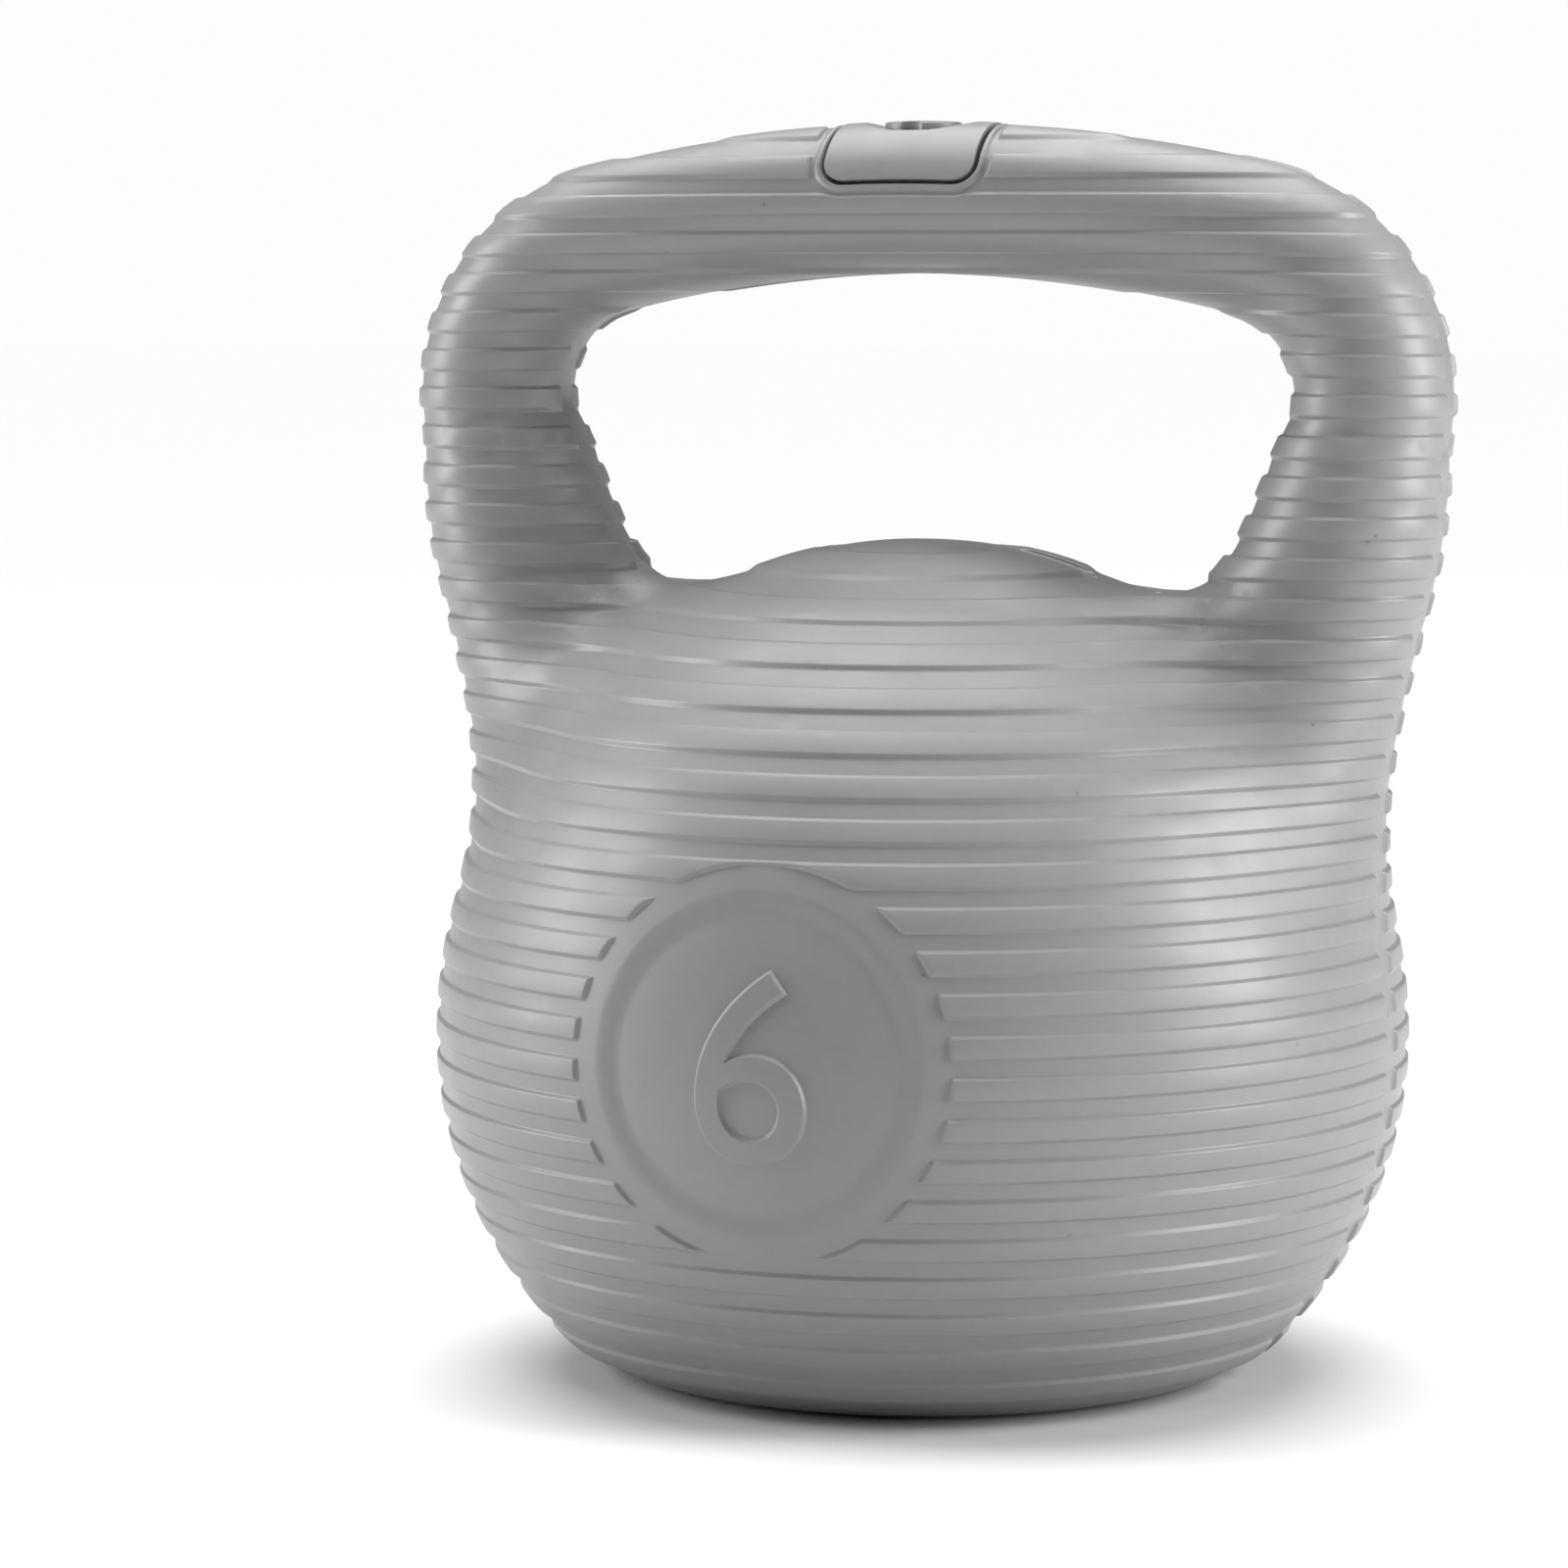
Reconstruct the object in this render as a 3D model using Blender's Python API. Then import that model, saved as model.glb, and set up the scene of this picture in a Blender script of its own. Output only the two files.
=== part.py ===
"""Sand-filled kettlebell: blow-moulded shell, ballast, and the filler on top of its handle.

Metres, +Z up, origin at the centre of the flat base, X along the handle, -Y to the front.
The outer skin is one level surface: a ball of revolution blended with a swept handle.
"""

import math

import bmesh
import bpy
import numpy as np
from mathutils import Matrix

# Ball: two half ellipsoids that meet at its widest level, cut by the floor
BALL_RADIUS = 0.1007
BALL_WIDEST_Z = 0.0690
BALL_TOP_RISE = 0.1029
BALL_BOTTOM_DROP = 0.0929
BASE_ROUND = 0.008

# Handle centreline: an arched bar, a bend at each end, and legs that lean into the ball
BAR_CENTRE_Z = 0.2408
BAR_ARCH_RADIUS = 0.3015
HANDLE_HALF_SPAN = 0.0953
BEND_RADIUS = 0.0328
LEG_LEAN_TOP = math.radians(13.8)
LEG_LEAN_FOOT = math.radians(5.0)
LEG_FOOT_Z = 0.125

# Handle section: half heights along the centreline, and how much deeper it is than tall
BAR_HALF_HEIGHT = 0.0158
LEG_TOP_HALF = 0.0165
LEG_MIDDLE_HALF = 0.0187
LEG_FOOT_HALF = 0.0060
HANDLE_DEPTH_RATIO = 1.12
BLEND = 0.039

# Wall, fill and running gap
WALL = 0.0028
FILL_LEVEL_Z = 0.150
GAP = 0.0003

# Filler cover: a saddle in a recess over the middle of the bar
COVER_HALF_WIDTH = 0.0160
COVER_HALF_ANGLE = math.radians(76.0)
COVER_CORNER = 0.0045
COVER_THICKNESS = 0.0024
COVER_EDGE_GAP = 0.0008
DISH_DEPTH = 0.0020
DISH_SLOPE_WIDTH = 0.0057

# Filler neck: the cover's boss and spigot, and the ring that seals it on the shell's land
BOSS_WALL = 0.0024
GASKET_THICKNESS = 0.0010
SPIGOT_WALL = 0.0015
SPIGOT_LENGTH = 0.0072

# Screw plug, its thread and its seal
BORE_RADIUS = 0.0069
THREAD_DEPTH = 0.0009
THREAD_CLEARANCE = 0.0004
THREAD_PITCH = 0.0030
THREAD_ROOT_WIDTH = 0.0013
THREAD_CREST_WIDTH = 0.0007
THREAD_SUNK = 0.0003
SEAT_LEDGE = 0.0010
HEAD_HEIGHT = 0.0032
HEAD_ROUND = 0.0006
HEAD_CROWN = 0.0003
SCALLOPS = 4
SCALLOP_RADIUS = 0.0042
SCALLOP_DEPTH = 0.0010
SHANK_SHORT = 0.0018
PLUG_WALL = 0.0018
SEAL_THICKNESS = 0.0008

# Mesh spacing, and how far the even mesh is thinned where the skin is nearly flat
SKIN_SPACING = 0.0075
RELAX_ROUNDS = 8
OUTER_SHARE = 0.50
CAVITY_SHARE = 0.30
ROUND_SEGMENTS = 32
STEPS_PER_TURN = 20
BAR_POINTS = 12
BEND_POINTS = 16
LEG_POINTS = 14
TUBE_SIDES = 16
SADDLE_COLUMNS = 6
SADDLE_ROWS = 10
CORNER_STEPS = 4
SLOPE_STEPS = 6
CUT_PAST = 0.004

# Worked out from the sizes above
CREST_Z = BAR_CENTRE_Z + BAR_HALF_HEIGHT
RECESS_DEPTH = COVER_THICKNESS + GAP
HEAD_RADIUS = BORE_RADIUS + SEAT_LEDGE
DISH_RIM_RADIUS = HEAD_RADIUS + DISH_SLOPE_WIDTH
SPIGOT_RADIUS = BORE_RADIUS + SPIGOT_WALL
BOSS_RADIUS = SPIGOT_RADIUS + BOSS_WALL
GASKET_RADIUS = BOSS_RADIUS - 2 * GAP
POCKET_RADIUS = BOSS_RADIUS + COVER_EDGE_GAP
# The boss reaches down to where the cover's curved underside passes its edge, and a gap further
UNDERSIDE_HALF = BAR_HALF_HEIGHT - COVER_THICKNESS
UNDERSIDE_SHARE = BOSS_RADIUS / (HANDLE_DEPTH_RATIO * UNDERSIDE_HALF)
BOSS_DEPTH = BAR_HALF_HEIGHT - UNDERSIDE_HALF * math.sqrt(1.0 - UNDERSIDE_SHARE**2) + GAP
LAND_DEPTH = BOSS_DEPTH + GASKET_THICKNESS + 2 * GAP
SEAT_DEPTH = HEAD_HEIGHT + SEAL_THICKNESS + 2 * GAP
SPIGOT_END_DEPTH = BOSS_DEPTH + SPIGOT_LENGTH
SHANK_END_DEPTH = SPIGOT_END_DEPTH - SHANK_SHORT
SHANK_RADIUS = BORE_RADIUS - THREAD_DEPTH - THREAD_CLEARANCE
# Both threads climb as far as the room between the seat and the spigot's end allows
THREAD_RUN = SPIGOT_END_DEPTH - SEAT_DEPTH - 2 * THREAD_ROOT_WIDTH - THREAD_PITCH / 2
MERGE = 1e-5


def clear_scene():
    for obj in list(bpy.data.objects):
        bpy.data.objects.remove(obj, do_unlink=True)


# ---------------------------------------------------------------- the body's level surface


def bend_geometry():
    """The angle where the arched bar meets the bend, and the centre of the bend in X and Z."""
    reach = BAR_ARCH_RADIUS - BEND_RADIUS
    start = math.asin((HANDLE_HALF_SPAN - BEND_RADIUS) / reach)
    arch_centre_z = BAR_CENTRE_Z - BAR_ARCH_RADIUS
    return start, (reach * math.sin(start), arch_centre_z + reach * math.cos(start))


def handle_line():
    """Half of the handle's centreline in X and Z, from mid bar to leg foot, with half heights."""
    start, (bend_x, bend_z) = bend_geometry()
    bar = np.linspace(0.0, start, BAR_POINTS)
    arch_centre_z = BAR_CENTRE_Z - BAR_ARCH_RADIUS
    points = []
    for a in bar:
        points.append((BAR_ARCH_RADIUS * math.sin(a), arch_centre_z + BAR_ARCH_RADIUS * math.cos(a)))
    for a in np.linspace(start, math.pi / 2 + LEG_LEAN_TOP, BEND_POINTS)[1:]:
        points.append((bend_x + BEND_RADIUS * math.sin(a), bend_z + BEND_RADIUS * math.cos(a)))
    knee = len(points) - 1
    knee_x, knee_z = points[knee]
    leg_radius = (knee_z - LEG_FOOT_Z) / (math.sin(LEG_LEAN_FOOT) - math.sin(LEG_LEAN_TOP))
    for a in np.linspace(LEG_LEAN_TOP, LEG_LEAN_FOOT, LEG_POINTS)[1:]:
        x = knee_x + leg_radius * (math.cos(a) - math.cos(LEG_LEAN_TOP))
        z = knee_z - leg_radius * (math.sin(a) - math.sin(LEG_LEAN_TOP))
        points.append((x, z))
    points = np.array(points)
    length = np.concatenate([[0.0], np.cumsum(np.linalg.norm(np.diff(points, axis=0), axis=1))])
    along_bar = np.clip(length / length[knee], 0.0, 1.0)
    ease = along_bar * along_bar * (3.0 - 2.0 * along_bar)
    bar_half = BAR_HALF_HEIGHT + (LEG_TOP_HALF - BAR_HALF_HEIGHT) * ease
    down = np.clip((length - length[knee]) / (length[-1] - length[knee]), 0.0, 1.0)
    leg_half = (
        LEG_TOP_HALF * (1.0 - down) * (1.0 - 2.0 * down)
        + 4.0 * LEG_MIDDLE_HALF * down * (1.0 - down)
        + LEG_FOOT_HALF * down * (2.0 * down - 1.0)
    )
    return points, np.where(down > 0.0, leg_half, bar_half)


def smooth_min(a, b, width):
    share = np.clip(0.5 + 0.5 * (b - a) / width, 0.0, 1.0)
    return b + (a - b) * share - width * share * (1.0 - share)


def ball_level(p):
    """Signed distance from the ball, to first order."""
    across = np.hypot(p[:, 0], p[:, 1]) / BALL_RADIUS
    rise = p[:, 2] - BALL_WIDEST_Z
    semi = np.where(rise > 0.0, BALL_TOP_RISE, BALL_BOTTOM_DROP)
    size = np.sqrt(across**2 + (rise / semi) ** 2) + 1e-9
    slope = np.hypot(across / BALL_RADIUS, rise / semi**2) / size + 1e-9
    return (size - 1.0) / slope


def handle_level(p):
    line, half = handle_line()
    x = np.abs(p[:, 0])
    y = p[:, 1] / HANDLE_DEPTH_RATIO
    nearest = np.full(len(p), 1.0)
    for a, b, half_a, half_b in zip(line[:-1], line[1:], half[:-1], half[1:]):
        step = b - a
        t = np.clip(((x - a[0]) * step[0] + (p[:, 2] - a[1]) * step[1]) / (step @ step), 0.0, 1.0)
        away = np.sqrt((x - a[0] - t * step[0]) ** 2 + y**2 + (p[:, 2] - a[1] - t * step[1]) ** 2)
        nearest = np.minimum(nearest, away - half_a - t * (half_b - half_a))
    return nearest


def body_level(p):
    """Zero on the outer skin, negative inside."""
    joined = smooth_min(ball_level(p), handle_level(p), BLEND)
    return -smooth_min(-joined, p[:, 2], BASE_ROUND)


def onto_level(p, depth):
    """The points moved square to the skin until they lie this deep below it."""
    probe = 1e-5
    for _ in range(3):
        level = body_level(p) + depth
        slope = np.stack([(body_level(p + probe * e) - body_level(p - probe * e)) for e in np.eye(3)], 1)
        slope /= 2.0 * probe
        p = p - (level / (slope**2).sum(1))[:, None] * slope
    return p


# ---------------------------------------------------------------- mesh helpers


def add_object(name, mesh, parent=None):
    obj = bpy.data.objects.new(name, mesh)
    bpy.context.collection.objects.link(obj)
    obj.parent = parent
    return obj


def from_bmesh(name, bm, parent=None):
    bmesh.ops.recalc_face_normals(bm, faces=bm.faces[:])
    mesh = bpy.data.meshes.new(name)
    bm.to_mesh(mesh)
    bm.free()
    return add_object(name, mesh, parent)


def hide(obj):
    obj.hide_render = True
    obj.display_type = "WIRE"
    return obj


def boolean(obj, operation, other):
    modifier = obj.modifiers.new(operation.lower(), "BOOLEAN")
    modifier.operation = operation
    modifier.solver = "EXACT"
    modifier.object = hide(other)


def finish(obj, colour, roughness, sharp_angle=35.0):
    """Its own Principled material, and smooth shading across the round faces."""
    material = bpy.data.materials.new(obj.name)
    material.use_nodes = True
    shader = material.node_tree.nodes["Principled BSDF"]
    shader.inputs["Base Color"].default_value = (*colour, 1.0)
    shader.inputs["Roughness"].default_value = roughness
    shader.inputs["Metallic"].default_value = 0.0
    obj.data.materials.append(material)
    obj.data.shade_smooth()
    obj.data.set_sharp_from_angle(angle=math.radians(sharp_angle))


def turned(name, profile, parent, segments=ROUND_SEGMENTS):
    """A solid of revolution about the local Z axis; the profile is a closed (radius, z) outline."""
    bm = bmesh.new()
    corners = [bm.verts.new((radius, 0.0, z)) for radius, z in profile]
    edges = [bm.edges.new((corners[i - 1], corners[i])) for i in range(len(corners))]
    bmesh.ops.spin(
        bm,
        geom=corners + edges,
        cent=(0.0, 0.0, 0.0),
        axis=(0.0, 0.0, 1.0),
        angle=2.0 * math.pi,
        steps=segments,
        use_merge=True,
    )
    bmesh.ops.remove_doubles(bm, verts=bm.verts[:], dist=MERGE)
    on_axis = [e for e in bm.edges if all(math.hypot(v.co.x, v.co.y) < MERGE for v in e.verts)]
    bmesh.ops.delete(bm, geom=on_axis, context="EDGES")
    return from_bmesh(name, bm, parent)


def cylinder(name, radius, top, bottom, parent):
    return turned(name, [(0.0, top), (radius, top), (radius, bottom), (0.0, bottom)], parent)


# ---------------------------------------------------------------- shell and ballast


def rough_body():
    """An ellipsoid and a tube along the handle: the start that the level surface is pulled from."""
    bm = bmesh.new()
    middle = (BALL_TOP_RISE + BALL_BOTTOM_DROP) / 2.0
    centre_z = BALL_WIDEST_Z + (BALL_TOP_RISE - BALL_BOTTOM_DROP) / 2.0
    stretch = Matrix.Diagonal((BALL_RADIUS, BALL_RADIUS, middle, 1.0))
    place = Matrix.Translation((0.0, 0.0, centre_z)) @ stretch
    bmesh.ops.create_uvsphere(bm, u_segments=48, v_segments=24, radius=1.0, matrix=place)
    line, half = handle_line()
    side = [(x, z, r) for (x, z), r in zip(line, half)]
    route = [(-x, z, r) for x, z, r in side[:0:-1]] + side
    rings = []
    for i, (x, z, radius) in enumerate(route):
        before = route[max(i - 1, 0)]
        after = route[min(i + 1, len(route) - 1)]
        heading = math.atan2(after[1] - before[1], after[0] - before[0])
        ring = []
        for k in range(TUBE_SIDES):
            turn = 2.0 * math.pi * k / TUBE_SIDES
            out = radius * math.cos(turn)
            y = radius * HANDLE_DEPTH_RATIO * math.sin(turn)
            ring.append(bm.verts.new((x - out * math.sin(heading), y, z + out * math.cos(heading))))
        rings.append(ring)
    for first, second in zip(rings[:-1], rings[1:]):
        for k in range(TUBE_SIDES):
            bm.faces.new((first[k - 1], first[k], second[k], second[k - 1]))
    bm.faces.new(rings[0])
    bm.faces.new(rings[-1])
    return hide(from_bmesh("rough_body", bm))


def applied(obj, kind, **settings):
    """A bmesh of the object as one modifier would leave it."""
    modifier = obj.modifiers.new(kind.lower(), kind)
    for key, value in settings.items():
        setattr(modifier, key, value)
    bpy.context.view_layer.update()
    mesh = bpy.data.meshes.new_from_object(obj.evaluated_get(bpy.context.evaluated_depsgraph_get()))
    obj.modifiers.remove(modifier)
    bm = bmesh.new()
    bm.from_mesh(mesh)
    bpy.data.meshes.remove(mesh)
    return bm


def level_mesh(rough, depth, share):
    """A mesh of the surface that lies this deep below the skin, fine where it curves most."""
    bm = applied(rough, "REMESH", mode="VOXEL", voxel_size=SKIN_SPACING)
    for _ in range(RELAX_ROUNDS):
        bmesh.ops.smooth_vert(
            bm, verts=bm.verts[:], factor=0.5, use_axis_x=True, use_axis_y=True, use_axis_z=True
        )
        move_onto_level(bm, depth)
    even = hide(from_bmesh("even_skin", bm))
    bm = applied(even, "DECIMATE", ratio=share, use_collapse_triangulate=True)
    bpy.data.objects.remove(even)
    move_onto_level(bm, depth)
    bmesh.ops.triangulate(bm, faces=bm.faces[:])
    return bm


def move_onto_level(bm, depth):
    points = onto_level(np.array([v.co[:] for v in bm.verts]), depth)
    for vertex, point in zip(bm.verts, points):
        vertex.co = point


def cut_at_fill_level(bm):
    cut = bmesh.ops.bisect_plane(
        bm,
        geom=bm.verts[:] + bm.edges[:] + bm.faces[:],
        plane_co=(0.0, 0.0, FILL_LEVEL_Z),
        plane_no=(0.0, 0.0, 1.0),
        clear_outer=True,
    )
    rim = [e for e in cut["geom_cut"] if isinstance(e, bmesh.types.BMEdge)]
    bmesh.ops.edgeloop_fill(bm, edges=rim)


# ---------------------------------------------------------------- filler


def saddle(name, parent, half_width, half_angle, corner, outer_depth, inner_depth):
    """A curved plate that wraps over the bar, between two depths below its crest."""
    reach = BAR_HALF_HEIGHT * (1.0 + HANDLE_DEPTH_RATIO) / 2.0
    side = []
    for i in range(CORNER_STEPS + 1):
        turn = math.pi / 2 * i / CORNER_STEPS
        up_side = corner * (1.0 - math.cos(turn))
        side.append((half_angle - up_side / reach, half_width - corner + corner * math.sin(turn)))
    straight = side[-1][0]
    across = [(straight * (1.0 - 2.0 * i / SADDLE_ROWS), half_width) for i in range(1, SADDLE_ROWS)]
    stations = side + across + [(-angle, width) for angle, width in reversed(side)]
    bm = bmesh.new()
    sheets = []
    for depth in (outer_depth, inner_depth):
        sheet = []
        for angle, width in stations:
            line = []
            for i in range(SADDLE_COLUMNS + 1):
                x = width * (2.0 * i / SADDLE_COLUMNS - 1.0)
                sag = BAR_ARCH_RADIUS - math.sqrt(BAR_ARCH_RADIUS**2 - x * x)
                half = BAR_HALF_HEIGHT - depth
                y = HANDLE_DEPTH_RATIO * half * math.sin(angle)
                line.append(bm.verts.new((x, y, half * math.cos(angle) - BAR_HALF_HEIGHT - sag)))
            sheet.append(line)
        sheets.append(sheet)
    for sheet in sheets:
        for first, second in zip(sheet[:-1], sheet[1:]):
            for i in range(SADDLE_COLUMNS):
                bm.faces.new((first[i], first[i + 1], second[i + 1], second[i]))
    top, bottom = sheets
    for upper, lower in ((top[0], bottom[0]), (top[-1], bottom[-1])):
        for i in range(SADDLE_COLUMNS):
            bm.faces.new((upper[i], upper[i + 1], lower[i + 1], lower[i]))
    for end in (0, -1):
        for j in range(len(stations) - 1):
            bm.faces.new((top[j][end], top[j + 1][end], bottom[j + 1][end], bottom[j][end]))
    return from_bmesh(name, bm, parent)


def thread_ridge(name, parent, base_radius, tip_radius, first_z):
    """One helical ridge, right-handed, sunk a little into the wall that it stands on."""
    sunk = math.copysign(THREAD_SUNK, tip_radius - base_radius)
    section = [
        (base_radius - sunk, -THREAD_ROOT_WIDTH / 2),
        (tip_radius, -THREAD_CREST_WIDTH / 2),
        (tip_radius, THREAD_CREST_WIDTH / 2),
        (base_radius - sunk, THREAD_ROOT_WIDTH / 2),
    ]
    bm = bmesh.new()
    rings = []
    steps = math.floor(THREAD_RUN / THREAD_PITCH * STEPS_PER_TURN)
    for i in range(steps + 1):
        turn = 2.0 * math.pi * i / STEPS_PER_TURN
        rise = first_z + THREAD_PITCH * i / STEPS_PER_TURN
        rings.append([bm.verts.new((r * math.cos(turn), r * math.sin(turn), rise + z)) for r, z in section])
    for first, second in zip(rings[:-1], rings[1:]):
        for k in range(len(section)):
            bm.faces.new((first[k - 1], first[k], second[k], second[k - 1]))
    bm.faces.new(rings[0])
    bm.faces.new(rings[-1])
    return from_bmesh(name, bm, parent)


def cover_bore(parent):
    """The cut down the middle of the cover: dish, seat for the plug's head, and threaded bore."""
    seat_radius = HEAD_RADIUS + GAP
    slope = []
    for i in range(SLOPE_STEPS + 1):
        share = i / SLOPE_STEPS
        ease = share * share * (3.0 - 2.0 * share)
        slope.append((DISH_RIM_RADIUS + (seat_radius + GAP - DISH_RIM_RADIUS) * share, -DISH_DEPTH * ease))
    outline = [
        (0.0, CUT_PAST),
        (DISH_RIM_RADIUS + CUT_PAST, CUT_PAST),
        *slope,
        (seat_radius, -DISH_DEPTH),
        (seat_radius, -SEAT_DEPTH),
        (BORE_RADIUS, -SEAT_DEPTH),
        (BORE_RADIUS, -SPIGOT_END_DEPTH - CUT_PAST),
        (0.0, -SPIGOT_END_DEPTH - CUT_PAST),
    ]
    return turned("cover_bore", outline, parent)


def make_cover(axis):
    outline = (COVER_HALF_WIDTH, COVER_HALF_ANGLE, COVER_CORNER)
    cover = saddle("filler_cover", axis, *outline, 0.0, COVER_THICKNESS)
    block = cylinder("boss_block", BOSS_RADIUS, COVER_THICKNESS, -BOSS_DEPTH, axis)
    under_crest = saddle("boss_limit", axis, *outline, GAP, BAR_HALF_HEIGHT - GAP)
    boolean(block, "INTERSECT", under_crest)
    boolean(cover, "UNION", block)
    boolean(cover, "UNION", cylinder("spigot", SPIGOT_RADIUS, -SEAT_DEPTH, -SPIGOT_END_DEPTH, axis))
    boolean(cover, "DIFFERENCE", cover_bore(axis))
    first_z = -SPIGOT_END_DEPTH + THREAD_ROOT_WIDTH
    nut_thread = thread_ridge("nut_thread", axis, BORE_RADIUS, BORE_RADIUS - THREAD_DEPTH, first_z)
    boolean(cover, "UNION", nut_thread)
    finish(cover, (0.33, 0.33, 0.33), 0.45)


def make_plug(axis):
    """The screw plug, hollow from below, with finger scallops round its head."""
    top = -HEAD_CROWN
    crown = [(HEAD_RADIUS * share, top + HEAD_CROWN * (1.0 - share**2)) for share in (0.0, 0.35, 0.65, 0.85)]
    hollow = SHANK_RADIUS - PLUG_WALL
    outline = [
        *crown,
        (HEAD_RADIUS - HEAD_ROUND / 3, top - HEAD_ROUND / 3),
        (HEAD_RADIUS, top - HEAD_ROUND),
        (HEAD_RADIUS, -HEAD_HEIGHT),
        (SHANK_RADIUS, -HEAD_HEIGHT),
        (SHANK_RADIUS, -SHANK_END_DEPTH),
        (hollow, -SHANK_END_DEPTH),
        (hollow, -HEAD_HEIGHT),
        (0.0, -HEAD_HEIGHT),
    ]
    plug = turned("filler_plug", outline, axis)
    for i in range(SCALLOPS):
        turn = 2.0 * math.pi * i / SCALLOPS - math.pi / 2
        scallop = cylinder(f"scallop_{i}", SCALLOP_RADIUS, HEAD_ROUND, -DISH_DEPTH, axis)
        away = HEAD_RADIUS + SCALLOP_RADIUS - SCALLOP_DEPTH
        scallop.location = (away * math.cos(turn), away * math.sin(turn), 0.0)
        boolean(plug, "DIFFERENCE", scallop)
    first_z = -SPIGOT_END_DEPTH + THREAD_ROOT_WIDTH + THREAD_PITCH / 2
    tip_radius = SHANK_RADIUS + THREAD_DEPTH
    boolean(plug, "UNION", thread_ridge("plug_thread", axis, SHANK_RADIUS, tip_radius, first_z))
    finish(plug, (0.31, 0.31, 0.31), 0.45)


def make_ring(name, parent, inner, outer, top_depth, thickness, colour):
    bottom = -top_depth - thickness
    outline = [(outer, -top_depth), (outer, bottom), (inner, bottom), (inner, -top_depth)]
    finish(turned(name, outline, parent), colour, 0.7)


def make_shell(rough, axis):
    shell = from_bmesh("shell", level_mesh(rough, 0.0, OUTER_SHARE))
    cavity = from_bmesh("cavity", level_mesh(rough, WALL, CAVITY_SHARE))
    angle_margin = COVER_EDGE_GAP / BAR_HALF_HEIGHT
    wall_angle = WALL / BAR_HALF_HEIGHT
    recess = saddle(
        "recess",
        axis,
        COVER_HALF_WIDTH + COVER_EDGE_GAP,
        COVER_HALF_ANGLE + angle_margin,
        COVER_CORNER + COVER_EDGE_GAP,
        -CUT_PAST,
        RECESS_DEPTH,
    )
    recess_wall = saddle(
        "recess_wall",
        axis,
        COVER_HALF_WIDTH + COVER_EDGE_GAP + WALL,
        COVER_HALF_ANGLE + angle_margin + wall_angle,
        COVER_CORNER + COVER_EDGE_GAP + WALL,
        -CUT_PAST / 2,
        RECESS_DEPTH + WALL,
    )
    land_wall = cylinder("land_wall", POCKET_RADIUS + WALL, -WALL / 4, -LAND_DEPTH - WALL, axis)
    boolean(cavity, "DIFFERENCE", recess_wall)
    boolean(cavity, "DIFFERENCE", land_wall)
    boolean(shell, "DIFFERENCE", cavity)
    boolean(shell, "DIFFERENCE", recess)
    boolean(shell, "DIFFERENCE", cylinder("land_pocket", POCKET_RADIUS, CUT_PAST, -LAND_DEPTH, axis))
    neck_bottom = -LAND_DEPTH - 2.0 * WALL
    boolean(shell, "DIFFERENCE", cylinder("neck_hole", SPIGOT_RADIUS + GAP, CUT_PAST, neck_bottom, axis))
    finish(shell, (0.34, 0.34, 0.34), 0.42)


def make_ballast(rough):
    """The settled fill: the cavity's own mesh, a gap smaller, cut level."""
    bm = level_mesh(rough, WALL, CAVITY_SHARE)
    move_onto_level(bm, WALL + 1.5 * GAP)
    cut_at_fill_level(bm)
    finish(from_bmesh("ballast", bm), (0.42, 0.38, 0.32), 0.95)


def main():
    clear_scene()
    axis = bpy.data.objects.new("filler_axis", None)
    bpy.context.collection.objects.link(axis)
    axis.location = (0.0, 0.0, CREST_Z)
    rough = rough_body()
    make_shell(rough, axis)
    make_ballast(rough)
    make_cover(axis)
    make_plug(axis)
    rubber = (0.03, 0.03, 0.03)
    make_ring(
        "cover_gasket", axis, SPIGOT_RADIUS + GAP, GASKET_RADIUS, BOSS_DEPTH + GAP, GASKET_THICKNESS, rubber
    )
    make_ring(
        "plug_seal", axis, SHANK_RADIUS + GAP, HEAD_RADIUS, HEAD_HEIGHT + GAP, SEAL_THICKNESS, rubber
    )


main()
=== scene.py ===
import math

import bmesh
import bpy
import numpy as np
from mathutils import Matrix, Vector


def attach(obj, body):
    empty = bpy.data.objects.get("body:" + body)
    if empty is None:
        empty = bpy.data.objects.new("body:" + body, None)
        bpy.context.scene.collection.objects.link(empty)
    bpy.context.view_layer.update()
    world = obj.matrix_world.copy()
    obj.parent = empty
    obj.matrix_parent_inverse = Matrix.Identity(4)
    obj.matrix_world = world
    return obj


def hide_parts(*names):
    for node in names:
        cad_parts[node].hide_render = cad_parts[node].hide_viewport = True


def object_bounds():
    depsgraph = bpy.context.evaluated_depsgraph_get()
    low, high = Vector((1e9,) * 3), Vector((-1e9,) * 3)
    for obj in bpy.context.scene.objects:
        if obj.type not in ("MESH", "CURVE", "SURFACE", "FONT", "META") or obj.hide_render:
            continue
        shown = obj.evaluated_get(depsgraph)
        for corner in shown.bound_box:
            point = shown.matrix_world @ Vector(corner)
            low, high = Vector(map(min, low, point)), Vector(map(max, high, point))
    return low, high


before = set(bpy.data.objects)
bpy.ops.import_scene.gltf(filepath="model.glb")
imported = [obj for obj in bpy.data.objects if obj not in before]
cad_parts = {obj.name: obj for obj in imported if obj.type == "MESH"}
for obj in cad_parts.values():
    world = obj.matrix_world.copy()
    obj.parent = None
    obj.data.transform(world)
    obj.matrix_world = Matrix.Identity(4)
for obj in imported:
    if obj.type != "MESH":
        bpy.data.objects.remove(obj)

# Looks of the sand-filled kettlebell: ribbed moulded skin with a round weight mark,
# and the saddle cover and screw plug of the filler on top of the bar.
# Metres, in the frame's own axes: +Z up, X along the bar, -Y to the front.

CAD_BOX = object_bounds()

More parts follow.
